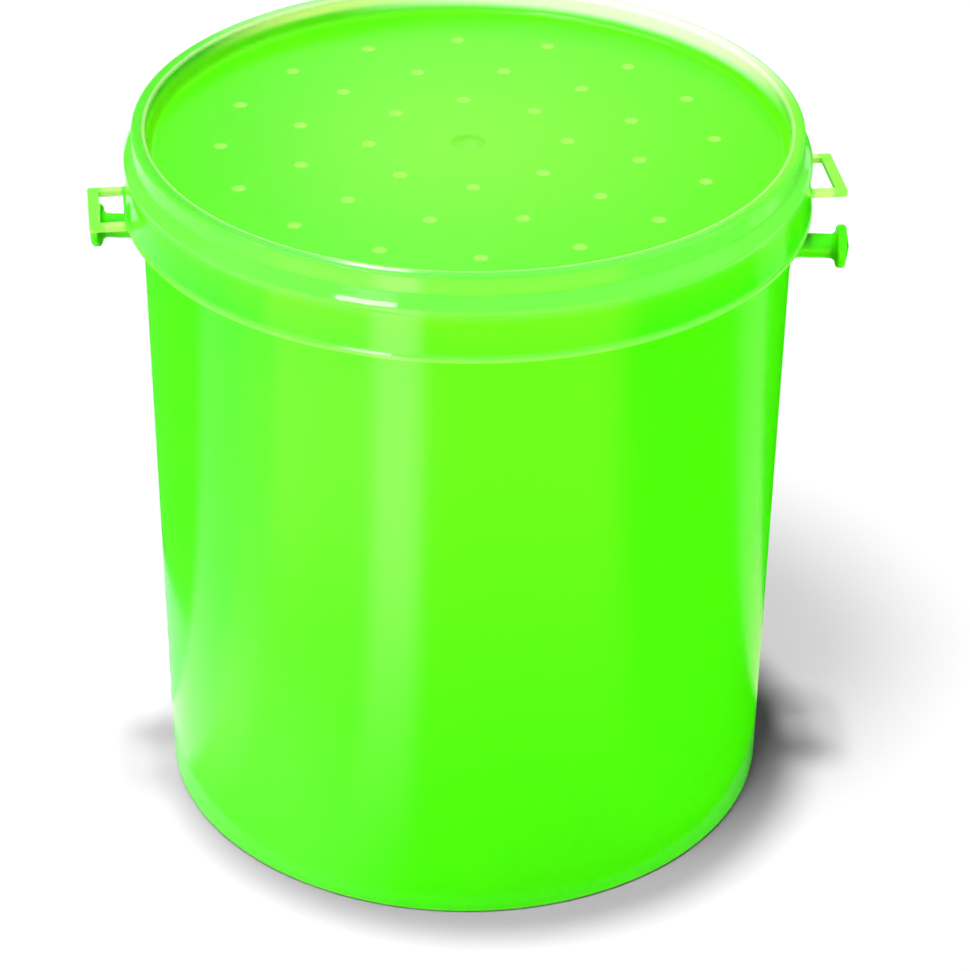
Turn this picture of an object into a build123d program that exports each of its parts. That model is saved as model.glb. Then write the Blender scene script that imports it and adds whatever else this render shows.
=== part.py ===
from build123d import *
import os
from math import radians, tan

# Round bait bucket with a snap-on lid that lets air through.
#
# Two mouldings: the bucket, with a mushroom stud on each side for a bail handle, and the lid, which is
# recessed so that another bucket stands in it, has rings of air holes and carries a flat loop on each
# side of its skirt. Millimetres, Z up, origin at the middle of the foot, X through the lid's loops.

# Bucket
base_radius = 64.9  # outside of the wall at the foot
bucket_height = 151.0  # foot to the top of the rim
wall_draft = 0.72  # degrees, so the bucket leaves its mould
bucket_wall = 1.3
floor_thickness = 1.6
floor_corner = 2.2  # slope where the wall meets the floor inside
foot_height = 1.2  # the floor is held this far off the ground
foot_width = 3.0
foot_edge = 0.4  # bevel of the foot's outer edge

# Rim: a thin upright lip over an outward snap bead
rim_wall = 1.0
rim_outset = 0.4  # outside of the lip beyond the outside of the wall below it
rim_height = 5.8  # upright lip above the snap bead
rim_step = 0.7  # height of the slope inside, from the lip to the wall
bead_reach = 1.3  # snap bead beyond the lip
bead_face = 1.0
bead_hook = 1.0  # height of the slope under the bead

# Handle studs on the bucket, below the lid's skirt
stud_turn = -9.6  # degrees round from the loops of the lid, as it is pressed on
stud_gap = 4.75  # skirt edge down to the head
stem_radius = 2.5
stem_length = 9.2  # wall to the back of the head
stem_flare = 1.3  # how far the stem widens into the wall and into the head
head_radius = 4.45
head_edge = 1.5
head_dome = 0.6

# Lid
lid_wall = 0.85
rim_clearance = 0.1  # between the lip of the rim and each side of the channel
snap_clearance = 0.15  # between the snap bead and the skirt
channel_roof = 1.0
lip_edge = 0.6  # bevel of the two edges of the lip
panel_room = 0.5  # under the panel, down to the step inside the rim
panel_thickness = 1.0
plug_draft = 0.2  # how much the recess narrows towards the panel
shoulder_room = 0.75  # over the slope of the snap bead, inside the lid's shoulder
shoulder_fall = 1.1
ridge_reach = 0.4  # ridge over the snap bead, beyond the skirt
ridge_height = 2.4
skirt_depth = 17.3  # top of the lid to the edge of the skirt
skirt_flare = 0.5  # how much the skirt widens towards its edge
hem_reach = 0.3  # bead round the edge of the skirt
hem_height = 0.8
hem_slope = 0.5

# Air holes: rings from the middle outwards, as many as the panel has room for
hole_radius = 0.9
hole_sides = 12  # the small holes have flat sides, which keeps the model light
first_ring = 20.2
first_count = 8
ring_pitch = 15.0
count_gain = 4  # more holes in each ring than in the one inside it
ring_margin = 5.0  # least distance of a ring from the edge of the panel
ring_turn = -4.1  # degrees from the loops to the first hole of a ring
gate_radius = 3.7  # dimple in the middle of the panel
gate_depth = 0.4

# Loops on the lid
loop_reach = 7.2  # hem to the outer face
loop_width = 17.8
loop_thickness = 1.4
side_bar = 2.0
end_bar = 2.3
loop_corner = 0.6
loop_chamfer = 0.5  # along the lower outer edge


def wall_outside(height):
    """Outside radius of the bucket's wall at a height above the foot."""
    return base_radius + height * tan(radians(wall_draft))


# Where the lid meets the bucket
bead_top = bucket_height - rim_height
bead_bottom = bead_top - bead_face
rim_outside = wall_outside(bead_top) + rim_outset
rim_inside = rim_outside - rim_wall
bead_outside = rim_outside + bead_reach
lid_top = bucket_height + channel_roof
plug_outside = rim_inside - rim_clearance
panel_bottom = bead_top + panel_room
panel_top = panel_bottom + panel_thickness
panel_radius = plug_outside - lid_wall - plug_draft
skirt_edge = lid_top - skirt_depth
skirt_inside = bead_outside + snap_clearance
skirt_outside = skirt_inside + lid_wall
hem_outside = skirt_outside + skirt_flare + hem_reach


def turned(*lines):
    """Turn a closed outline, drawn as radius and height, round the Z axis."""
    return revolve(Plane.XZ * make_face(lines), Axis.Z)


def bucket_shell():
    """Drafted wall, floor held up on a foot ring, and the rim with its snap bead."""
    foot_inside = base_radius - foot_width
    floor_top = foot_height + floor_thickness
    corner_top = floor_top + floor_corner
    corner_inside = wall_outside(corner_top) - bucket_wall
    hook_bottom = bead_bottom - bead_hook
    step_bottom = bead_top - rim_step
    foot_top = (wall_outside(foot_edge), foot_edge)
    hook_root = (wall_outside(hook_bottom), hook_bottom)
    step_root = (wall_outside(step_bottom) - bucket_wall, step_bottom)
    corner_root = (corner_inside, corner_top)
    foot = Polyline(
        (0, foot_height),
        (foot_inside - foot_height, foot_height),
        (foot_inside, 0),
        (base_radius - foot_edge, 0),
        foot_top,
    )
    outer_wall = Line(foot_top, hook_root)
    rim = Polyline(
        hook_root,
        (bead_outside, bead_bottom),
        (bead_outside, bead_top),
        (rim_outside, bead_top + bead_reach),
        (rim_outside, bucket_height),
        (rim_inside, bucket_height),
        (rim_inside, bead_top),
        step_root,
    )
    inner_wall = Bezier(step_root, corner_root)
    floor = Polyline(
        corner_root,
        (corner_inside - floor_corner, floor_top),
        (0, floor_top),
        (0, foot_height),
    )
    return turned(foot, outer_wall, rim, inner_wall, floor)


def stud():
    """Mushroom stud along +X that widens into the wall and into its domed head."""
    height = skirt_edge - stud_gap - head_radius
    root = wall_outside(height)
    buried = root - bucket_wall / 2
    back = root + stem_length
    front = back + head_edge
    flared = stem_radius + stem_flare
    dome_radius = (head_radius**2 + head_dome**2) / (2 * head_dome)
    side = Polyline(
        (buried, 0),
        (buried, flared),
        (root, flared),
        (root + stem_flare, stem_radius),
        (back - stem_flare, stem_radius),
        (back, flared),
        (back, head_radius),
        (front, head_radius),
    )
    dome = RadiusArc((front, head_radius), (front + head_dome, 0), dome_radius)
    axis = Line((front + head_dome, 0), (buried, 0))
    outline = make_face([side, dome, axis])
    return Pos(0, 0, height) * revolve(Plane.XZ * outline, Axis.X)


def bucket():
    studs = [Rot(0, 0, stud_turn + side) * stud() for side in (0, 180)]
    return bucket_shell() + studs


def lid_shell():
    """Panel, stacking lip over the rim's channel, ridge over the snap bead, and skirt."""
    lip_inside = plug_outside - lid_wall
    channel_outside = rim_outside + rim_clearance
    lip_outside = channel_outside + lid_wall
    shoulder_inside = bead_top + bead_reach + shoulder_room
    shoulder_top = shoulder_inside + lid_wall
    ridge_top = shoulder_top - shoulder_fall
    ridge_bottom = ridge_top - ridge_height
    snap_top = ridge_bottom - ridge_reach
    hem_top = skirt_edge + hem_height
    outside = Polyline(
        (0, panel_top),
        (panel_radius, panel_top),
        (lip_inside, lid_top - lip_edge),
        (lip_inside + lip_edge, lid_top),
        (lip_outside - lip_edge, lid_top),
        (lip_outside, lid_top - lip_edge),
        (lip_outside, shoulder_top),
        (skirt_outside + ridge_reach, ridge_top),
        (skirt_outside + ridge_reach, ridge_bottom),
        (skirt_outside, snap_top),
        (skirt_outside + skirt_flare, hem_top + hem_slope),
        (hem_outside, hem_top),
        (hem_outside, skirt_edge),
        (skirt_inside + skirt_flare, skirt_edge),
    )
    inside = Polyline(
        (skirt_inside + skirt_flare, skirt_edge),
        (skirt_inside, snap_top),
        (skirt_inside + ridge_reach, ridge_bottom),
        (skirt_inside + ridge_reach, ridge_top - lid_wall),
        (channel_outside, shoulder_inside),
        (channel_outside, bucket_height),
        (plug_outside, bucket_height),
        (plug_outside - plug_draft, panel_bottom),
        (0, panel_bottom),
        (0, panel_top),
    )
    return turned(outside, inside)


def loop():
    """Flat rectangular loop along +X, flush with the edge of the skirt, its root inside the wall."""
    wall_middle = skirt_inside + skirt_flare + lid_wall / 2
    inner_end = wall_middle - loop_width / 2
    outer_face = hem_outside + loop_reach
    from_inner_end = (Align.MIN, Align.CENTER, Align.MIN)
    through = (Align.MIN, Align.CENTER, Align.CENTER)
    plate = Box(outer_face - inner_end, loop_width, loop_thickness, align=from_inner_end)
    outer_corners = plate.edges().filter_by(Axis.Z).group_by(Axis.X)[-1]
    plate = fillet(outer_corners, loop_corner)
    lower_edge = plate.faces().sort_by(Axis.Z)[0].edges().sort_by(Axis.X)[-1]
    plate = Pos(inner_end, 0, skirt_edge) * chamfer(lower_edge, loop_chamfer)
    gap = Box(loop_reach - end_bar, loop_width - 2 * side_bar, 3 * loop_thickness, align=through)
    lid_room = Cylinder(wall_middle, 3 * loop_thickness)
    return plate - Pos(hem_outside, 0, skirt_edge) * gap - Pos(0, 0, skirt_edge) * lid_room


def air_holes():
    """Drills for the rings of holes; every second ring is turned by half a pitch."""
    shape = RegularPolygon(hole_radius, hole_sides)
    drill = Pos(0, 0, panel_top) * extrude(shape, 2 * panel_thickness, both=True)
    drills = []
    ring_count = 1 + int((panel_radius - ring_margin - first_ring) // ring_pitch)
    for ring in range(ring_count):
        holes = first_count + ring * count_gain
        half_pitch = 180 / holes if ring % 2 else 0
        places = PolarLocations(first_ring + ring * ring_pitch, holes, ring_turn + half_pitch)
        drills += [place * drill for place in places]
    return drills


def lid():
    loops = [Rot(0, 0, side) * loop() for side in (0, 180)]
    gate = Pos(0, 0, panel_top) * Cylinder(gate_radius, 2 * gate_depth)
    return lid_shell() + loops - air_holes() - gate


os.makedirs("parts", exist_ok=True)
export_step(bucket(), "parts/bucket.step")
export_step(lid(), "parts/lid.step")
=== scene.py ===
import bmesh
import bpy
from math import acos, atan2, cos, pi, radians, sin, tan
from mathutils import Matrix, Vector


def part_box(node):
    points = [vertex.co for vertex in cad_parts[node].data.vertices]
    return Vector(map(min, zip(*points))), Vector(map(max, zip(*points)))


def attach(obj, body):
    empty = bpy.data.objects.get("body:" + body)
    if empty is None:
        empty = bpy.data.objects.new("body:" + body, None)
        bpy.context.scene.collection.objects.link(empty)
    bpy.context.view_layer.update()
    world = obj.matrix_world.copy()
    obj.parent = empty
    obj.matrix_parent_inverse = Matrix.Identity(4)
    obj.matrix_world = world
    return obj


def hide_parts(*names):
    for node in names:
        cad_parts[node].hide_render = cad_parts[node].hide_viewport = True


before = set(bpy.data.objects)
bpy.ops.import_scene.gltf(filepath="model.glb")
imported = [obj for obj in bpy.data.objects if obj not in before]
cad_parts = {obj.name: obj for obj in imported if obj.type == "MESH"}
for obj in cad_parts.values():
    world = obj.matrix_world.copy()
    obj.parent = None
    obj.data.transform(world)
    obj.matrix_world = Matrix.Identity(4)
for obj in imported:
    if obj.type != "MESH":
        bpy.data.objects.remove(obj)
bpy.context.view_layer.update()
mm = 0.001  # shapes are written in mm, looks and studio in metres
onAxis = 1e-6  # mm, a smaller radius counts as the axis
hair = 0.1  # mm, smaller rises and gaps count as none
sharpAngle = 32  # degrees, sharper edges stay crisp
flatWeight = 95  # keeps the shading of large faces flat
bothSides = (0, 180)  # degrees round the axis

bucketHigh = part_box("bucket")[1]
lidLow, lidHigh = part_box("lid")
rimTop = bucketHigh.z / mm
lidTop = lidHigh.z / mm
skirtEdge = lidLow.z / mm
hemOutside = lidHigh.y / mm
loopFace = lidHigh.x / mm
print("frame loaded: rim %.1f mm, lid %.1f mm" % (rimTop, lidTop))


def roundedOutline(corners, steps):
    # corners are (radius, height, rounding) in mm; each rounding becomes an arc
    points = []
    for index, (radius, height, rounding) in enumerate(corners):
        here = Vector((radius, height))
        if rounding == 0 or index in (0, len(corners) - 1):
            points.append(here)
            continue
        before = (Vector(corners[index - 1][:2]) - here).normalized()
        after = (Vector(corners[index + 1][:2]) - here).normalized()
        half = acos(max(-1.0, min(1.0, before.dot(after)))) / 2
        reach = rounding / tan(half)
        centre = here + (before + after).normalized() * rounding / sin(half)
        start = here + before * reach - centre
        end = here + after * reach - centre
        turn = atan2(start.x * end.y - start.y * end.x, start.dot(end))
        for step in range(steps + 1):
            angle = turn * step / steps
            arm = Vector((start.x * cos(angle) - start.y * sin(angle),
                          start.x * sin(angle) + start.y * cos(angle)))
            points.append(centre + arm)
    return points


def turnedMesh(name, points, segments, axis="Z"):
    # turns a closed outline that starts and ends on the axis
    shape = bmesh.new()
    rings = []
    for radius, height in points:
        if radius < onAxis:
            rings.append([shape.verts.new((0, 0, height * mm))])
            continue
        ring = []
        for step in range(segments):
            angle = 2 * pi * step / segments
            ring.append(shape.verts.new((radius * mm * cos(angle), radius * mm * sin(angle), height * mm)))
        rings.append(ring)
    for lower, upper in zip(rings, rings[1:]):
        for step in range(segments):
            following = (step + 1) % segments
            if len(lower) == 1:
                shape.faces.new((lower[0], upper[following], upper[step]))
            elif len(upper) == 1:
                shape.faces.new((lower[step], lower[following], upper[0]))
            else:
                shape.faces.new((lower[step], lower[following], upper[following], upper[step]))
    bmesh.ops.recalc_face_normals(shape, faces=shape.faces)
    if axis == "X":
        bmesh.ops.rotate(shape, verts=shape.verts, cent=(0, 0, 0), matrix=Matrix.Rotation(pi / 2, 3, "Y"))
    mesh = bpy.data.meshes.new(name)
    shape.to_mesh(mesh)
    shape.free()
    return mesh


def placed(name, mesh):
    piece = bpy.data.objects.new(name, mesh)
    bpy.context.scene.collection.objects.link(piece)
    return piece


def combined(piece, others, operation):
    # one solid from the piece and the others, which are used up
    for other in others:
        cut = piece.modifiers.new("cut", "BOOLEAN")
        cut.object = other
        cut.operation = operation
        cut.solver = "EXACT"
    bpy.context.view_layer.update()
    graph = bpy.context.evaluated_depsgraph_get()
    result = bpy.data.meshes.new_from_object(piece.evaluated_get(graph))
    piece.modifiers.clear()
    piece.data = result
    for other in others:
        bpy.data.objects.remove(other)
    return piece


def smoothed(piece):
    # soft shading that stops at real edges, with flat faces left flat
    for face in piece.data.polygons:
        face.use_smooth = True
    piece.data.set_sharp_from_angle(angle=radians(sharpAngle))
    weights = piece.modifiers.new("weights", "WEIGHTED_NORMAL")
    weights.keep_sharp = True
    weights.weight = flatWeight


bucketShape = {
    "baseRadius": 64.9,
    "draft": 0.72,  # degrees
    "wall": 1.3,
    "floor": 1.6,
    "floorCorner": 2.2,
    "footHeight": 1.2,
    "footWidth": 3.0,
    "footRounding": 0.7,
    "rimWall": 1.0,
    "rimOutset": 0.4,
    "rimHeight": 5.8,
    "rimStep": 0.7,
    "rimRounding": 0.4,
    "beadReach": 1.3,
    "beadFace": 1.0,
    "beadHook": 1.0,
    "beadRounding": 0.3,
    "segments": 240,
    "arcSteps": 5,
}
studShape = {
    "turn": -9.6,  # degrees from the loops of the lid
    "gap": 4.75,
    "stemRadius": 2.5,
    "stemLength": 9.2,
    "flare": 1.3,
    "rootRounding": 2.08,
    "rootDepth": 0.1,
    "headRadius": 4.45,
    "headEdge": 1.9,
    "headDome": 0.8,
    "headRounding": 0.7,
    "segments": 48,
    "arcSteps": 6,
}


def wallOutside(height):
    return bucketShape["baseRadius"] + height * tan(radians(bucketShape["draft"]))


beadTop = rimTop - bucketShape["rimHeight"]
rimOutside = wallOutside(beadTop) + bucketShape["rimOutset"]
rimInside = rimOutside - bucketShape["rimWall"]
beadOutside = rimOutside + bucketShape["beadReach"]


def bucketOutline():
    s = bucketShape
    footInside = s["baseRadius"] - s["footWidth"]
    floorTop = s["footHeight"] + s["floor"]
    cornerTop = floorTop + s["floorCorner"]
    cornerInside = wallOutside(cornerTop) - s["wall"]
    beadBottom = beadTop - s["beadFace"]
    hookBottom = beadBottom - s["beadHook"]
    stepBottom = beadTop - s["rimStep"]
    edge = s["beadRounding"]
    corners = [
        (0, s["footHeight"], 0),
        (footInside - s["footHeight"], s["footHeight"], edge),
        (footInside, 0, edge),
        (s["baseRadius"], 0, s["footRounding"]),
        (wallOutside(hookBottom), hookBottom, edge),
        (beadOutside, beadBottom, edge),
        (beadOutside, beadTop, edge),
        (rimOutside, beadTop + s["beadReach"], edge),
        (rimOutside, rimTop, s["rimRounding"]),
        (rimInside, rimTop, s["rimRounding"]),
        (rimInside, beadTop, edge),
        (wallOutside(stepBottom) - s["wall"], stepBottom, edge),
        (cornerInside, cornerTop, s["floorCorner"] / 2),
        (cornerInside - s["floorCorner"], floorTop, s["floorCorner"] / 2),
        (0, floorTop, 0),
    ]
    return roundedOutline(corners, s["arcSteps"])


def studPiece(side):
    # turned round its own axis, so that what the outline calls height runs outwards
    s = studShape
    height = skirtEdge - s["gap"] - s["headRadius"]
    root = wallOutside(height)
    buried = root - bucketShape["wall"] / 2
    back = root + s["stemLength"]
    foot = s["stemRadius"] + 2 * s["flare"]
    corners = [
        (0, buried, 0),
        (foot, buried, 0),
        (foot, root - s["rootDepth"], 0),
        (s["stemRadius"], root - s["rootDepth"], s["rootRounding"]),
        (s["stemRadius"], back, s["flare"]),
        (s["headRadius"], back, s["headRounding"]),
        (s["headRadius"], back + s["headEdge"], s["headRounding"]),
        (0, back + s["headEdge"] + s["headDome"], 0),
    ]
    mesh = turnedMesh("stud", roundedOutline(corners, s["arcSteps"]), s["segments"], "X")
    turn = Matrix.Rotation(radians(s["turn"] + side), 4, "Z")
    mesh.transform(turn @ Matrix.Translation((0, 0, height * mm)))
    return placed("stud", mesh)


def buildBucket():
    mesh = turnedMesh("bucket_shell", bucketOutline(), bucketShape["segments"])
    piece = placed("bucket_shell", mesh)
    combined(piece, [studPiece(side) for side in bothSides], "UNION")
    smoothed(piece)
    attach(piece, "bucket")
    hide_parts("bucket")
    return piece


lidShape = {
    "wall": 0.85,
    "rimClearance": 0.1,
    "snapClearance": 0.15,
    "seatGap": 0.03,  # keeps the roof of the channel off the rim
    "panelRoom": 0.5,
    "panel": 1.0,
    "panelRounding": 1.4,
    "plugDraft": 0.2,
    "lipRounding": 0.6,
    "innerRounding": 0.255,
    "shoulderRoom": 0.75,
    "shoulderFall": 1.1,
    "ridgeReach": 0.4,
    "ridgeHeight": 2.4,
    "ridgeRounding": 0.45,
    "snapRounding": 0.4,
    "facetReach": 0.55,  # worn facet along the top of the ridge
    "facetRise": -0.5,
    "facetFall": 1.4,
    "skirtFlare": 0.5,
    "hemHeight": 0.8,
    "hemSlope": 0.5,
    "hemRounding": 0.3,
    "segments": 240,
    "arcSteps": 5,
}
holePattern = {
    "radius": 0.9,
    "flare": 0.25,  # worn-in edge of each hole
    "flareDepth": 0.6,
    "flareBend": (0.4, 0.35),  # where the flare bends, as shares of its width and depth
    "overcut": 0.02,
    "firstRing": 20.2,
    "pitch": 15.0,
    "rings": 3,
    "firstCount": 8,
    "gain": 4,
    "turn": -4.1,
    "sides": 20,
    "gateRadius": 3.7,
    "gateDepth": 0.22,
    "gateSlope": 1.7,
    "gateRounding": 0.6,
}
loopShape = {
    "width": 17.8,
    "thickness": 1.4,
    "sideBar": 2.0,
    "endBar": 2.3,
    "corner": 0.6,
    "cornerSteps": 3,
    "edge": 0.25,
    "edgeSteps": 2,
    "edgeAngle": 60,  # degrees, sharper edges are rounded
    "rootDepth": 0.15,
    "lift": 0.02,  # off the plane of the skirt's edge
}

plugOutside = rimInside - lidShape["rimClearance"]
panelBottom = beadTop + lidShape["panelRoom"]
panelTop = panelBottom + lidShape["panel"]
skirtInside = beadOutside + lidShape["snapClearance"]
skirtOutside = skirtInside + lidShape["wall"]


def lidOutline():
    s = lidShape
    lipInside = plugOutside - s["wall"]
    panelRadius = lipInside - s["plugDraft"]
    channelOutside = rimOutside + s["rimClearance"]
    lipOutside = channelOutside + s["wall"]
    shoulderInside = beadTop + bucketShape["beadReach"] + s["shoulderRoom"]
    shoulderTop = shoulderInside + s["wall"]
    ridgeTop = shoulderTop - s["shoulderFall"]
    ridgeBottom = ridgeTop - s["ridgeHeight"]
    snapTop = ridgeBottom - s["ridgeReach"]
    ridgeOutside = skirtOutside + s["ridgeReach"]
    hemTop = skirtEdge + s["hemHeight"]
    roof = rimTop + s["seatGap"]
    gate = holePattern["gateRadius"]
    gateFloor = panelTop - holePattern["gateDepth"]
    gateRounding = holePattern["gateRounding"]
    inner = s["innerRounding"]
    corners = [
        (0, gateFloor, 0),
        (gate - holePattern["gateSlope"], gateFloor, gateRounding),
        (gate, panelTop, gateRounding),
        (panelRadius, panelTop, s["panelRounding"]),
        (lipInside, lidTop, s["lipRounding"]),
        (lipOutside, lidTop, s["lipRounding"]),
        (lipOutside, shoulderTop, s["ridgeRounding"]),
        (ridgeOutside - s["facetReach"], ridgeTop + s["facetRise"], s["ridgeRounding"]),
        (ridgeOutside, ridgeTop - s["facetFall"], s["ridgeRounding"]),
        (ridgeOutside, ridgeBottom, 2 * s["ridgeRounding"]),
        (skirtOutside, snapTop, s["snapRounding"]),
        (skirtOutside + s["skirtFlare"], hemTop + s["hemSlope"], s["hemRounding"]),
        (hemOutside, hemTop, s["hemRounding"] / 2),
        (hemOutside, skirtEdge, s["hemRounding"]),
        (skirtInside + s["skirtFlare"], skirtEdge, inner),
        (skirtInside, snapTop, inner),
        (skirtInside + s["ridgeReach"], ridgeBottom, inner / 2),
        (skirtInside + s["ridgeReach"], ridgeTop - s["wall"], inner),
        (channelOutside, shoulderInside, inner),
        (channelOutside, roof, inner / 2),
        (plugOutside, roof, inner / 2),
        (plugOutside - s["plugDraft"], panelBottom, inner),
        (0, panelBottom, 0),
    ]
    return roundedOutline(corners, s["arcSteps"])


def rise(edge):
    return abs(edge.verts[0].co.z - edge.verts[1].co.z)


def loopPiece(side):
    # flat ring of two side bars and an end bar, with its root inside the skirt
    s = loopShape
    root = skirtInside + lidShape["skirtFlare"] + s["rootDepth"]
    outer = (Vector((root, -s["width"] / 2)), Vector((loopFace, -s["width"] / 2)),
             Vector((loopFace, s["width"] / 2)), Vector((root, s["width"] / 2)))
    inset = s["width"] / 2 - s["sideBar"]
    gapStart, gapEnd = hemOutside, loopFace - s["endBar"]
    inner = (Vector((gapStart, -inset)), Vector((gapEnd, -inset)),
             Vector((gapEnd, inset)), Vector((gapStart, inset)))
    shape = bmesh.new()
    levels = []
    for height in (skirtEdge + s["lift"], skirtEdge + s["thickness"]):
        levels.append([[shape.verts.new((p.x * mm, p.y * mm, height * mm)) for p in line]
                       for line in (outer, inner)])
    (lowOuter, lowInner), (highOuter, highInner) = levels
    for step in range(4):
        following = (step + 1) % 4
        shape.faces.new((lowOuter[following], lowOuter[step], lowInner[step], lowInner[following]))
        shape.faces.new((highOuter[step], highOuter[following], highInner[following], highInner[step]))
        shape.faces.new((lowOuter[step], lowOuter[following], highOuter[following], highOuter[step]))
        shape.faces.new((lowInner[following], lowInner[step], highInner[step], highInner[following]))
    bmesh.ops.recalc_face_normals(shape, faces=shape.faces)
    upright = [e for e in shape.edges
               if rise(e) > hair * mm and e.verts[0].co.x > (loopFace - hair) * mm]
    bmesh.ops.bevel(shape, geom=upright, offset=s["corner"] * mm, segments=s["cornerSteps"],
                    profile=0.5, affect="EDGES")
    shape.faces.ensure_lookup_table()
    around = [e for e in shape.edges
              if rise(e) < hair * mm and e.calc_face_angle() > radians(s["edgeAngle"])]
    bmesh.ops.bevel(shape, geom=around, offset=s["edge"] * mm, segments=s["edgeSteps"],
                    profile=0.5, affect="EDGES")
    mesh = bpy.data.meshes.new("loop")
    shape.to_mesh(mesh)
    shape.free()
    mesh.transform(Matrix.Rotation(radians(side), 4, "Z"))
    return placed("loop", mesh)


def holeRings():
    # radius in metres, number of holes and turn of each ring
    s = holePattern
    for ring in range(s["rings"]):
        count = s["firstCount"] + ring * s["gain"]
        turn = radians(s["turn"]) + (pi / count if ring % 2 else 0)
        yield (s["firstRing"] + ring * s["pitch"]) * mm, count, turn


def holeCutters():
    s = holePattern
    deep = 2 * lidShape["panel"]
    bendOut, bendDown = s["flareBend"]
    flared = s["radius"] + s["flare"]
    outline = [
        (0, panelTop - deep),
        (s["radius"], panelTop - deep),
        (s["radius"], panelTop - s["flareDepth"]),
        (s["radius"] + s["flare"] * bendOut, panelTop - s["flareDepth"] * bendDown),
        (flared, panelTop + s["overcut"]),
        (flared, panelTop + deep),
        (0, panelTop + deep),
    ]
    drill = turnedMesh("drill", [Vector(point) for point in outline], s["sides"])
    shape = bmesh.new()
    for reach, count, turn in holeRings():
        for hole in range(count):
            angle = turn + 2 * pi * hole / count
            copy = drill.copy()
            copy.transform(Matrix.Translation((reach * cos(angle), reach * sin(angle), 0)))
            shape.from_mesh(copy)
            bpy.data.meshes.remove(copy)
    mesh = bpy.data.meshes.new("drills")
    shape.to_mesh(mesh)
    shape.free()
    bpy.data.meshes.remove(drill)
    return placed("drills", mesh)


def buildLid():
    mesh = turnedMesh("lid_shell", lidOutline(), lidShape["segments"])
    piece = placed("lid_shell", mesh)
    combined(piece, [loopPiece(side) for side in bothSides], "UNION")
    combined(piece, [holeCutters()], "DIFFERENCE")
    smoothed(piece)
    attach(piece, "lid")
    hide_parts("lid")
    return piece


bucket = buildBucket()
print("bucket built:", len(bucket.data.polygons), "faces")
lid = buildLid()
print("lid built:", len(lid.data.polygons), "faces")


def newGroup(name, inputs, outputs):
    group = bpy.data.node_groups.new(name, "ShaderNodeTree")
    for label, kind, value in inputs:
        socket = group.interface.new_socket(label, in_out="INPUT", socket_type=kind)
        socket.default_value = value
    for label, kind in outputs:
        group.interface.new_socket(label, in_out="OUTPUT", socket_type=kind)
    start = group.nodes.new("NodeGroupInput")
    end = group.nodes.new("NodeGroupOutput")
    return group, start, end


def mathNode(tree, operation, a, b=None, clamp=False):
    node = tree.nodes.new("ShaderNodeMath")
    node.operation = operation
    node.use_clamp = clamp
    for index, value in enumerate((a, b)):
        if value is None:
            continue
        if isinstance(value, (int, float)):
            node.inputs[index].default_value = value
        else:
            tree.links.new(value, node.inputs[index])
    return node.outputs[0]


def mixColor(tree, factor, a, b):
    node = tree.nodes.new("ShaderNodeMix")
    node.data_type = "RGBA"
    for socket, value in ((node.inputs[0], factor), (node.inputs[6], a), (node.inputs[7], b)):
        if isinstance(value, bpy.types.NodeSocket):
            tree.links.new(value, socket)
        else:
            socket.default_value = value
    return node.outputs[2]


def ramp(tree, value, low, high):
    node = tree.nodes.new("ShaderNodeMapRange")
    node.interpolation_type = "SMOOTHSTEP"
    for socket, source in ((node.inputs[0], value), (node.inputs[1], low), (node.inputs[2], high)):
        if isinstance(source, bpy.types.NodeSocket):
            tree.links.new(source, socket)
        else:
            socket.default_value = source
    return node.outputs[0]


def objectPlace(tree):
    # the shaded point, in the piece's own metres
    return tree.nodes.new("ShaderNodeTexCoord").outputs["Object"]


def axesOf(tree, place):
    split = tree.nodes.new("ShaderNodeSeparateXYZ")
    tree.links.new(place, split.inputs[0])
    return split.outputs


def axisDistance(tree, axes):
    squareX = mathNode(tree, "MULTIPLY", axes["X"], axes["X"])
    squareY = mathNode(tree, "MULTIPLY", axes["Y"], axes["Y"])
    return mathNode(tree, "SQRT", mathNode(tree, "ADD", squareX, squareY))


def noise(tree, place, scale, detail):
    node = tree.nodes.new("ShaderNodeTexNoise")
    tree.links.new(place, node.inputs["Vector"])
    tree.links.new(scale, node.inputs["Scale"])
    node.inputs["Detail"].default_value = detail
    return node.outputs["Fac"]


def swing(tree, value, amount):
    # noise lies round a half: this lets it push both ways
    return mathNode(tree, "MULTIPLY", mathNode(tree, "SUBTRACT", value, 0.5), amount)


cloudDetail = 3.0


def makeTintGroup():
    # colour of tinted plastic: from Deep at Low up to Pale at High, cloudy where the melt mixed
    group, start, end = newGroup(
        "plasticTint",
        [("Deep", "NodeSocketColor", (0, 1, 0, 1)), ("Pale", "NodeSocketColor", (0.2, 1, 0.1, 1)),
         ("Low", "NodeSocketFloat", 0.0), ("High", "NodeSocketFloat", 0.15),
         ("Cloud Scale", "NodeSocketFloat", 20.0), ("Cloud Amount", "NodeSocketFloat", 0.1)],
        [("Color", "NodeSocketColor")])
    place = objectPlace(group)
    axes = axesOf(group, place)
    upward = ramp(group, axes["Z"], start.outputs["Low"], start.outputs["High"])
    cloud = noise(group, place, start.outputs["Cloud Scale"], cloudDetail)
    drift = swing(group, cloud, start.outputs["Cloud Amount"])
    share = mathNode(group, "ADD", upward, drift, clamp=True)
    tint = mixColor(group, share, start.outputs["Deep"], start.outputs["Pale"])
    group.links.new(tint, end.inputs["Color"])
    return group


# how softly a zone ends: the full part of its width, then metres past its limit and its start
zoneFade = {"core": 0.3, "limit": 0.0006, "side": 0.03}


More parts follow.
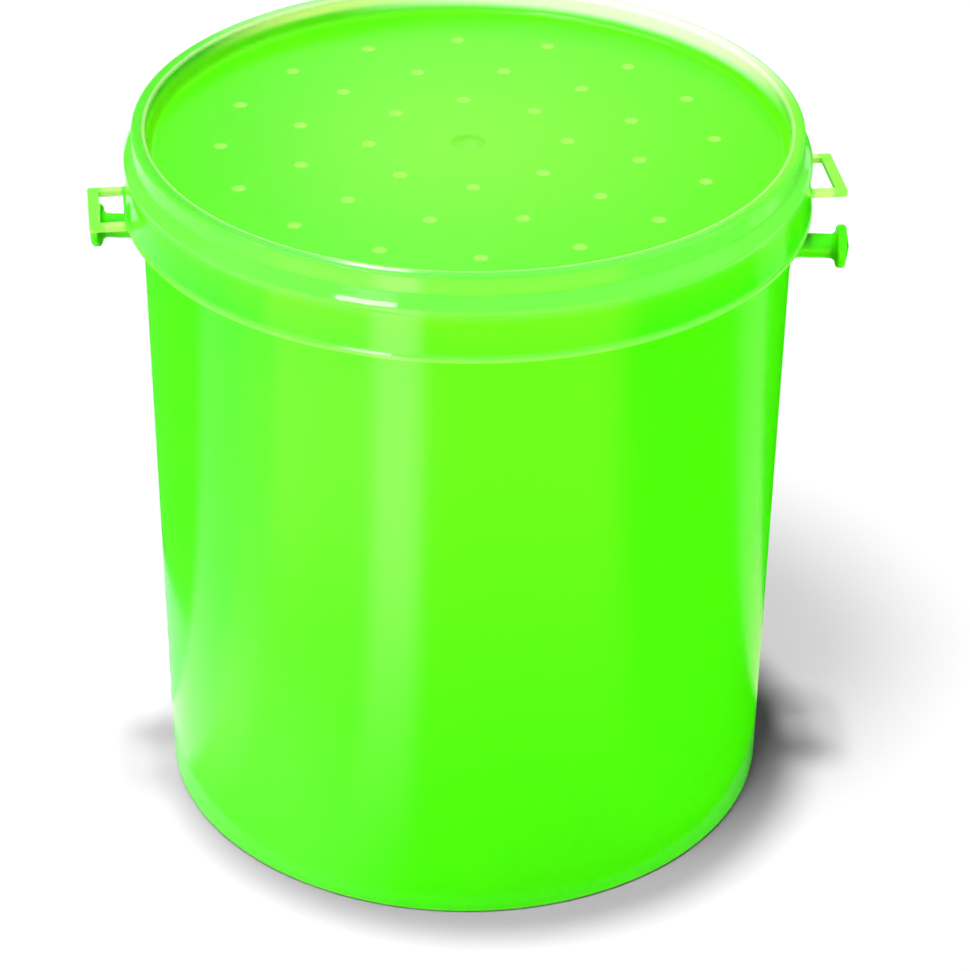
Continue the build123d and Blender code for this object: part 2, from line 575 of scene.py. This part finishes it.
def makeZoneGroup():
    # 1 near a height, fading over Width, further from the axis than Inner, fading up to Outer, and
    # not beyond Limit; only past Start on the way Side X, Side Y
    group, start, end = newGroup(
        "turnedZone",
        [("Height", "NodeSocketFloat", 0.15), ("Width", "NodeSocketFloat", 0.002),
         ("Inner", "NodeSocketFloat", -1.0), ("Outer", "NodeSocketFloat", 0.0),
         ("Limit", "NodeSocketFloat", 9.0), ("Side X", "NodeSocketFloat", 0.0),
         ("Side Y", "NodeSocketFloat", 0.0), ("Start", "NodeSocketFloat", -1.0)],
        [("Mask", "NodeSocketFloat")])
    axes = axesOf(group, objectPlace(group))
    away = mathNode(group, "ABSOLUTE", mathNode(group, "SUBTRACT", axes["Z"], start.outputs["Height"]))
    share = mathNode(group, "DIVIDE", away, start.outputs["Width"])
    level = mathNode(group, "SUBTRACT", 1.0, ramp(group, share, zoneFade["core"], 1.0))
    reach = axisDistance(group, axes)
    outward = ramp(group, reach, start.outputs["Inner"], start.outputs["Outer"])
    beyond = ramp(group, reach, start.outputs["Limit"],
                  mathNode(group, "ADD", start.outputs["Limit"], zoneFade["limit"]))
    within = mathNode(group, "MULTIPLY", outward, mathNode(group, "SUBTRACT", 1.0, beyond))
    along = mathNode(group, "ADD", mathNode(group, "MULTIPLY", axes["X"], start.outputs["Side X"]),
                     mathNode(group, "MULTIPLY", axes["Y"], start.outputs["Side Y"]))
    aside = ramp(group, along, start.outputs["Start"],
                 mathNode(group, "ADD", start.outputs["Start"], zoneFade["side"]))
    mask = mathNode(group, "MULTIPLY", level, mathNode(group, "MULTIPLY", within, aside))
    group.links.new(mask, end.inputs["Mask"])
    return group


def makeSpotGroup():
    # 1 on each of the evenly spaced spots of one ring around the axis
    group, start, end = newGroup(
        "ringSpots",
        [("Ring", "NodeSocketFloat", 0.02), ("Count", "NodeSocketFloat", 8.0),
         ("Turn", "NodeSocketFloat", 0.0), ("Inner", "NodeSocketFloat", 0.001),
         ("Outer", "NodeSocketFloat", 0.002)],
        [("Mask", "NodeSocketFloat")])
    axes = axesOf(group, objectPlace(group))
    around = mathNode(group, "ARCTAN2", axes["Y"], axes["X"])
    turned = mathNode(group, "SUBTRACT", around, start.outputs["Turn"])
    steps = mathNode(group, "MULTIPLY", mathNode(group, "DIVIDE", turned, 2 * pi), start.outputs["Count"])
    share = mathNode(group, "SUBTRACT", steps, mathNode(group, "ROUND", steps))
    angle = mathNode(group, "DIVIDE", mathNode(group, "MULTIPLY", share, 2 * pi), start.outputs["Count"])
    sideways = mathNode(group, "MULTIPLY", angle, start.outputs["Ring"])
    outwards = mathNode(group, "SUBTRACT", axisDistance(group, axes), start.outputs["Ring"])
    squares = mathNode(group, "ADD", mathNode(group, "MULTIPLY", sideways, sideways),
                       mathNode(group, "MULTIPLY", outwards, outwards))
    away = mathNode(group, "SQRT", squares)
    fade = ramp(group, away, start.outputs["Inner"], start.outputs["Outer"])
    group.links.new(mathNode(group, "SUBTRACT", 1.0, fade), end.inputs["Mask"])
    return group


skinMarks = {
    "waveDetail": 1.0,
    "detail": 4.0,
    "stretch": 0.03,  # draws the marks out upwards
    "depth": 0.01,  # beside the waves
}


def makeSurfaceGroup():
    # moulded skin: faint waves and fine upright draw marks
    group, start, end = newGroup(
        "mouldedSkin",
        [("Roughness", "NodeSocketFloat", 0.3), ("Spread", "NodeSocketFloat", 0.08),
         ("Wave Scale", "NodeSocketFloat", 60.0), ("Mark Scale", "NodeSocketFloat", 700.0)],
        [("Roughness", "NodeSocketFloat"), ("Height", "NodeSocketFloat")])
    place = objectPlace(group)
    wave = noise(group, place, start.outputs["Wave Scale"], skinMarks["waveDetail"])
    stretch = group.nodes.new("ShaderNodeMapping")
    stretch.inputs["Scale"].default_value = (1, 1, skinMarks["stretch"])
    group.links.new(place, stretch.inputs["Vector"])
    marks = noise(group, stretch.outputs[0], start.outputs["Mark Scale"], skinMarks["detail"])
    fine = mathNode(group, "MULTIPLY", marks, skinMarks["depth"])
    group.links.new(mathNode(group, "ADD", wave, fine), end.inputs["Height"])
    change = swing(group, marks, start.outputs["Spread"])
    group.links.new(mathNode(group, "ADD", start.outputs["Roughness"], change, clamp=True),
                    end.inputs["Roughness"])
    return group


plasticTint = makeTintGroup()
turnedZone = makeZoneGroup()
ringSpots = makeSpotGroup()
mouldedSkin = makeSurfaceGroup()


white = (1, 1, 1)
green = (0.03, 1, 0)
black = (0, 0, 0, 1)
everyHeight = (0, 9)  # height and width
everyRadius = (-1, 0)  # inner and outer
everySide = (0, 0, -1)  # side x, side y and start
noLimit = 9


def useGroup(tree, group, values):
    node = tree.nodes.new("ShaderNodeGroup")
    node.node_tree = group
    for label, value in values.items():
        node.inputs[label].default_value = value
    return node


def zoneMask(tree, height, width, inner, outer, side=everySide, limit=noLimit):
    zone = useGroup(tree, turnedZone, {"Height": height, "Width": width, "Inner": inner, "Outer": outer,
                                       "Side X": side[0], "Side Y": side[1], "Start": side[2],
                                       "Limit": limit})
    return zone.outputs["Mask"]


# zones: height, width, inner radius and outer radius, for some a side to keep to, strength, colour
bucketPlastic = {
    "deep": (0.062, 0.95, 0.001, 1),
    "pale": (0.072, 0.95, 0.001, 1),
    "low": 0.0,
    "high": 0.15,
    "cloudScale": 18.0,
    "cloudAmount": 0.1,
    "zones": (
        # painted light: paler low on the left side, where the floor lights the wall
        (0.0, 0.075, *everyRadius, (-0.99, 0.12, 0.008), 0.24, (0.26, 0.97, 0.12, 1)),
        # painted highlight: a thin pale band along the bottom edge
        (0.0, 0.0012, *everyRadius, 0.2, (0.3, 0.97, 0.08, 1)),
        # painted light: paler rim, where light shows through the thin edge
        (0.151, 0.006, *everyRadius, 0.6, (0.3, 0.97, 0.08, 1)),
    ),
    "bounce": 0.02,
    "roughness": 0.17,
    "spread": 0.04,
    "waveScale": 30.0,
    "bump": 0.05,
    "specular": 0.2,
    "subsurface": 0.6,
    "scatter": 0.003,
    "radius": (0.5, 1.0, 0.3),
}
lidPlastic = {
    "deep": (0.055, 0.95, 0.005, 1),
    "pale": (0.11, 0.96, 0.004, 1),
    "low": 0.134,
    "high": 0.148,
    "cloudScale": 25.0,
    "cloudAmount": 0.12,
    "zones": (
        (*everyHeight, 0.06, 0.0, 0.7, (0.22, 0.97, 0.02, 1)),  # middle of the panel
        (0.1485, 0.0034, 0.057, 0.0645, 0.8, (0.1, 0.96, 0.002, 1)),  # foot of the recess: painted shade
        (0.1528, 0.0048, *everyRadius, 0.85, (0.5, 0.98, 0.28, 1)),  # pale inner edge of the lip: painted light through the thin edge and painted sheen
        (0.1525, 0.0065, 0.0656, 0.0662, 1.0, (0.155, 0.97, 0.06, 1)),  # top and outside of the lip: painted sheen
        (0.1462, 0.0036, 0.0672, 0.0682, 0.8, (0.18, 0.97, 0.08, 1)),  # ridge: painted sheen
        (0.1349, 0.0018, *everyRadius, 0.45, (0.4, 0.98, 0.17, 1)),  # hem: painted highlight
        (*everyHeight, 0.0704, 0.0712, 0.9, (0.65, 0.98, 0.27, 1)),  # thin bars of the loops: painted light through the thin plastic
        (*everyHeight, 0.0742, 0.0756, 0.8, (0.2, 0.97, 0.06, 1)),  # their thicker end bars: painted light through the plastic, less of it
    ),
    "spots": 0.7,
    "spotInner": 0.0006,
    "spotOuter": 0.0017,
    "spotColor": (0.45, 0.98, 0.15, 1),
    "spotGlow": (0.36, 0.8, 0.14, 1),
    # painted glow by emission, standing in for light that comes through the wall of the recess and the
    # lip, most of it
    # at the back: height, width, limit, side and where it starts, colour
    "glows": (
        (0.1485, 0.0028, 0.0658, everySide, (0.07, 0.16, 0.003, 1)),
        (0.1508, 0.0018, 0.0658, (0.33, 0.94, 0.018), (0.5, 0.36, 0.16, 1)),
        (0.153, 0.0022, 0.0672, (0.33, 0.94, 0.018), (0.27, 0.05, 0.2, 1)),
        (0.1503, 0.0028, 0.0658, (0.57, 0.82, 0.036), (0.75, 0.5, 0.6, 1)),
        (0.153, 0.0022, 0.0672, (0.57, 0.82, 0.036), (0.8, 0.1, 0.85, 1)),
    ),
    "glowInner": 0.063,
    "glowOuter": 0.0648,
    "bounce": 0,
    "roughness": 0.08,
    "spread": 0.03,
    "waveScale": 30.0,
    "bump": 0.03,
    "panelRoughness": 0.22,
    "panelBand": 0.002,
    "panelFade": 0.001,
    "specular": 0.2,
    "subsurface": 0.8,
    "scatter": 0.0012,
    "radius": (0.5, 1.0, 0.3),
}


plasticIor = 1.49
bumpDepth = 0.001


def plasticMaterial(name, s):
    material = bpy.data.materials.new(name)
    material.use_nodes = True
    tree = material.node_tree
    shader = tree.nodes["Principled BSDF"]
    tint = useGroup(tree, plasticTint, {"Deep": s["deep"], "Pale": s["pale"],
                                        "Low": s["low"], "High": s["high"],
                                        "Cloud Scale": s["cloudScale"], "Cloud Amount": s["cloudAmount"]})
    color = tint.outputs["Color"]
    for *zone, strength, shade in s["zones"]:
        share = mathNode(tree, "MULTIPLY", zoneMask(tree, *zone), strength)
        color = mixColor(tree, share, color, shade)
    if "spots" in s:
        # painted light: pale spots over the holes
        mask = holeMask(tree, s["spotInner"], s["spotOuter"])
        color = mixColor(tree, mathNode(tree, "MULTIPLY", mask, s["spots"]), color, s["spotColor"])
        # painted glow: the edges of the holes glow by emission, standing in for light gathered from the
        # whole panel
        glow = mixColor(tree, mask, black, s["spotGlow"])
        # painted glow of light through the recess wall and the lip
        for height, width, limit, side, shade in s["glows"]:
            mask = zoneMask(tree, height, width, s["glowInner"], s["glowOuter"], side, limit)
            glow = mixColor(tree, mask, glow, shade)
        tree.links.new(glow, shader.inputs["Emission Color"])
        shader.inputs["Emission Strength"].default_value = 1.0
    if s["bounce"]:
        # keeps the strong colour off the white floor
        rays = tree.nodes.new("ShaderNodeLightPath")
        plain = (s["bounce"], s["bounce"], s["bounce"], 1)
        color = mixColor(tree, rays.outputs["Is Diffuse Ray"], color, plain)
    tree.links.new(color, shader.inputs["Base Color"])
    skin = useGroup(tree, mouldedSkin, {"Roughness": s["roughness"], "Spread": s["spread"],
                                        "Wave Scale": s["waveScale"]})
    roughness = skin.outputs["Roughness"]
    if "panelRoughness" in s:
        edge = (holePattern["firstRing"] + holePattern["rings"] * holePattern["pitch"]) * mm
        panel = zoneMask(tree, panelTop * mm, s["panelBand"], edge, edge - s["panelFade"])
        rougher = mathNode(tree, "MULTIPLY", panel, s["panelRoughness"])
        roughness = mathNode(tree, "ADD", roughness, rougher, clamp=True)
    tree.links.new(roughness, shader.inputs["Roughness"])
    bump = tree.nodes.new("ShaderNodeBump")
    bump.inputs["Strength"].default_value = s["bump"]
    bump.inputs["Distance"].default_value = bumpDepth
    tree.links.new(skin.outputs["Height"], bump.inputs["Height"])
    tree.links.new(bump.outputs["Normal"], shader.inputs["Normal"])
    shader.inputs["Subsurface Weight"].default_value = s["subsurface"]
    shader.inputs["Subsurface Scale"].default_value = s["scatter"]
    shader.inputs["Subsurface Radius"].default_value = s["radius"]
    shader.inputs["IOR"].default_value = plasticIor
    shader.inputs["Specular IOR Level"].default_value = s["specular"]
    return material


def holeMask(tree, inner, outer):
    # all rings of holes together
    mask = None
    for ring, count, turn in holeRings():
        spots = useGroup(tree, ringSpots, {"Ring": ring, "Count": count, "Turn": turn,
                                           "Inner": inner, "Outer": outer})
        found = spots.outputs["Mask"]
        mask = found if mask is None else mathNode(tree, "MAXIMUM", mask, found)
    return mask


bucket.data.materials.clear()
bucket.data.materials.append(plasticMaterial("bucketPlastic", bucketPlastic))
lid.data.materials.clear()
lid.data.materials.append(plasticMaterial("lidPlastic", lidPlastic))
for node, piece in (("bucket", bucket), ("lid", lid)):
    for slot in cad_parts[node].material_slots:
        slot.material = piece.data.materials[0]
print("plastics made")


# metres and degrees, with turns counted from the camera's side
studio = {
    "floorSize": 6.0,
    "floorColor": (0.97, 0.97, 0.97, 1),
    "floorRoughness": 0.9,
    "ambient": 0.03,
    # distant lights: name, turn from the camera, elevation, softness, strength
    "suns": (
        ("key", -36, 71, 17, 1.36),
        ("top", -125.5, 87.6, 5.3, 1.88),
    ),
    # near lights: name, turn from the camera, elevation, distance, width, height, power in watts,
    # colour, seen by gloss only
    "lights": (
        ("fillLeft", -70, -2, 1.2, 0.5, 0.07, 9, white, False),
        ("fillRight", 48, -2, 1.3, 0.5, 0.07, 10, white, False),
        ("lipGlint", 182.8, 32.1, 1.281, 0.036, 0.03, 0.1, white, True),
        ("ridgeGlint", -33.5, 33, 1.39, 0.4, 0.15, 8, white, True),
        ("soft", -60, 60, 1.3, 1.2, 0.8, 18, white, True),
        ("sheen", 176, 26.5, 1.3, 0.3, 0.2, 0.3, (1, 1, 0.1), True),
    ),
    "aim": (0, 0, 0.08),
    # cards on the floor that only reflections show, each over the ones before it: name, start, end,
    # near, far, brightness, colour, distance of full brightness, soft sides in degrees
    "cards": (
        ("rightCard", 20, 112, 0.069, 0.8, 0.7, green, 0.07, 0),
        ("backCard", 112, 180, 0.069, 0.8, 0.7, green, 0.07, 0),
        ("stripCard", 98, 122, 0.069, 0.8, 0.9, (0.95, 1, 0.55), 0.07, 6),
        ("farCard", -180, -97, 0.6, 2.4, 0.8, green, 0.7, 0),
        ("paleCard", -165, -97, 0.069, 0.125, 0.8, (0.85, 1, 0.95), 0.07, 0),
        ("edgeCard", -180, -97, 0.112, 0.3, 0.8, (0.2, 1, 0.1), 0.13, 0),
        ("outerCard", -97, -60, 0.069, 0.5, 1.5, (0.9, 1, 0.85), 0.07, 0),
        ("leftCard", -80, -20, 0.069, 0.5, 2.6, (1, 1, 0.55), 0.13, 8),
        ("midCard", -66, -8, 0.069, 0.5, 6.6, (1, 1, 0.3), 0.25, 8),
        ("centreCard", -24, 56, 0.069, 0.8, 6, (1, 1, 0.09), 0.28, 18),
        ("streakCard", -31, -11, 0.069, 0.45, 15, (1, 1, 0.5), 0.23, 9),
    ),
    "cardStep": 0.0001,  # each card lies this much over the one before
    "cardSteps": 16,
    "cardClear": 0.8,  # share of the near distance where a card is still black
    # green screens that only reflections show, standing far round the sides: name, start, end
    "screens": (("leftScreen", -174, -95), ("rightScreen", 95, 174)),
    "screenSteps": 12,
    "screenDistance": 2.5,
    "screenHeight": 2.2,
    "screenGlow": 0.5,
}
# metres and degrees, with lens and sensor in mm
view = {
    "distance": 0.7494,
    "elevation": 31.51,
    "turn": -7.0,
    "aimSide": 0.0041,
    "aimHeight": 0.06505,
    "roll": 0.0107,  # radians
    "lens": 129.06,
    "sensor": 36,
}


def aimed(obj, place, target):
    obj.location = place
    obj.rotation_mode = "QUATERNION"
    obj.rotation_quaternion = (Vector(target) - Vector(place)).to_track_quat("-Z", "Y")


def direction(turn, elevation):
    # turn is counted from the camera's side, to the right as the camera sees it
    around = radians(turn + view["turn"])
    return Vector((sin(around) * cos(radians(elevation)), -cos(around) * cos(radians(elevation)),
                   sin(radians(elevation))))


def staged(name, points, faces, material):
    mesh = bpy.data.meshes.new(name)
    mesh.from_pydata(points, [], faces)
    mesh.materials.append(material)
    piece = placed(name, mesh)
    return piece


def dullMaterial(name, color):
    material = bpy.data.materials.new(name)
    material.use_nodes = True
    shader = material.node_tree.nodes["Principled BSDF"]
    shader.inputs["Base Color"].default_value = color
    shader.inputs["Specular IOR Level"].default_value = 0.0
    return material, shader


def buildFloor():
    half = studio["floorSize"] / 2
    material, shader = dullMaterial("studioFloor", studio["floorColor"])
    shader.inputs["Roughness"].default_value = studio["floorRoughness"]
    staged("studioFloor", [(-half, -half, 0), (half, -half, 0), (half, half, 0), (-half, half, 0)],
           [(0, 1, 2, 3)], material)


def reflectedStrip(name, first, last, steps, edges, material):
    # a strip bent round the object from turn first to turn last, that only reflections show; each
    # of its two edges has a distance from the axis and a height
    points, faces = [], []
    for step in range(steps + 1):
        way = direction(first + (last - first) * step / steps, 0)
        points += [(way.x * reach, way.y * reach, height) for reach, height in edges]
        if step:
            faces.append((2 * step - 2, 2 * step - 1, 2 * step + 1, 2 * step))
    piece = staged(name, points, faces, material)
    piece.visible_camera = False
    piece.visible_diffuse = False
    piece.visible_transmission = False
    piece.visible_shadow = False


def buildCards():
    for level, card in enumerate(studio["cards"], start=1):
        name, first, last, near, far, brightness, color, fade, soft = card
        height = level * studio["cardStep"]
        material = cardMaterial(name, (first, last), near, fade, color, brightness, soft)
        reflectedStrip(name, first, last, studio["cardSteps"], ((near, height), (far, height)), material)


def buildScreens():
    distance = studio["screenDistance"]
    material, shader = dullMaterial("screen", black)
    shader.inputs["Emission Color"].default_value = (*green, 1)
    shader.inputs["Emission Strength"].default_value = studio["screenGlow"]
    for name, first, last in studio["screens"]:
        edges = ((distance, 0), (distance, studio["screenHeight"]))
        reflectedStrip(name, first, last, studio["screenSteps"], edges, material)


def cardMaterial(name, turns, near, fade, color, brightness, soft):
    # glows, fading towards the object and, when soft, towards both sides where it turns clear
    material, shader = dullMaterial(name, black)
    shader.inputs["Emission Color"].default_value = (*color, 1)
    tree = material.node_tree
    place = objectPlace(tree)
    reach = tree.nodes.new("ShaderNodeVectorMath")
    reach.operation = "LENGTH"
    tree.links.new(place, reach.inputs[0])
    lit = ramp(tree, reach.outputs["Value"], near * studio["cardClear"], fade)
    tree.links.new(mathNode(tree, "MULTIPLY", lit, brightness), shader.inputs["Emission Strength"])
    if soft:
        way = tree.nodes.new("ShaderNodeVectorMath")
        way.operation = "NORMALIZE"
        tree.links.new(place, way.inputs[0])
        aligned = tree.nodes.new("ShaderNodeVectorMath")
        aligned.operation = "DOT_PRODUCT"
        tree.links.new(way.outputs["Vector"], aligned.inputs[0])
        aligned.inputs[1].default_value = direction((turns[0] + turns[1]) / 2, 0)
        half = (turns[1] - turns[0]) / 2
        edge = ramp(tree, aligned.outputs["Value"], cos(radians(half)), cos(radians(half - soft)))
        tree.links.new(edge, shader.inputs["Alpha"])
    return material


def buildWorld():
    # white where it is seen or mirrored, dim as a light
    world = bpy.data.worlds.new("studio")
    bpy.context.scene.world = world
    world.use_nodes = True
    tree = world.node_tree
    background = tree.nodes["Background"]
    background.inputs["Color"].default_value = (*white, 1)
    rays = tree.nodes.new("ShaderNodeLightPath")
    seen = mathNode(tree, "ADD", rays.outputs["Is Camera Ray"], rays.outputs["Is Glossy Ray"], clamp=True)
    seen = mathNode(tree, "ADD", seen, rays.outputs["Is Transmission Ray"], clamp=True)
    lift = mathNode(tree, "MULTIPLY", seen, 1 - studio["ambient"])
    tree.links.new(mathNode(tree, "ADD", lift, studio["ambient"]), background.inputs["Strength"])


def buildLights():
    for name, turn, elevation, softness, strength in studio["suns"]:
        lamp = bpy.data.lights.new(name, "SUN")
        lamp.angle = radians(softness)
        lamp.energy = strength
        light = placed(name, lamp)
        aimed(light, direction(turn, elevation), (0, 0, 0))
        light.visible_glossy = False
    for name, turn, elevation, distance, width, height, power, color, glossOnly in studio["lights"]:
        lamp = bpy.data.lights.new(name, "AREA")
        lamp.shape = "RECTANGLE"
        lamp.size = width
        lamp.size_y = height
        lamp.energy = power
        lamp.color = color
        light = placed(name, lamp)
        aim = Vector(studio["aim"])
        aimed(light, aim + direction(turn, elevation) * distance, aim)
        light.visible_glossy = glossOnly
        light.visible_diffuse = not glossOnly


def buildCamera():
    data = bpy.data.cameras.new("camera")
    data.sensor_width = view["sensor"]
    data.sensor_fit = "AUTO"
    data.lens = view["lens"]
    camera = placed("camera", data)
    turn = radians(view["turn"])
    aim = Vector((view["aimSide"] * cos(turn), view["aimSide"] * sin(turn), view["aimHeight"]))
    place = Vector((0, 0, view["aimHeight"])) + direction(0, view["elevation"]) * view["distance"]
    aimed(camera, place, aim)
    roll = Matrix.Rotation(view["roll"], 3, "Z").to_quaternion()
    camera.rotation_quaternion = camera.rotation_quaternion @ roll
    bpy.context.scene.camera = camera


buildFloor()
buildCards()
buildScreens()
buildWorld()
buildLights()
buildCamera()
bpy.context.scene.view_settings.view_transform = "Standard"
print("studio built")
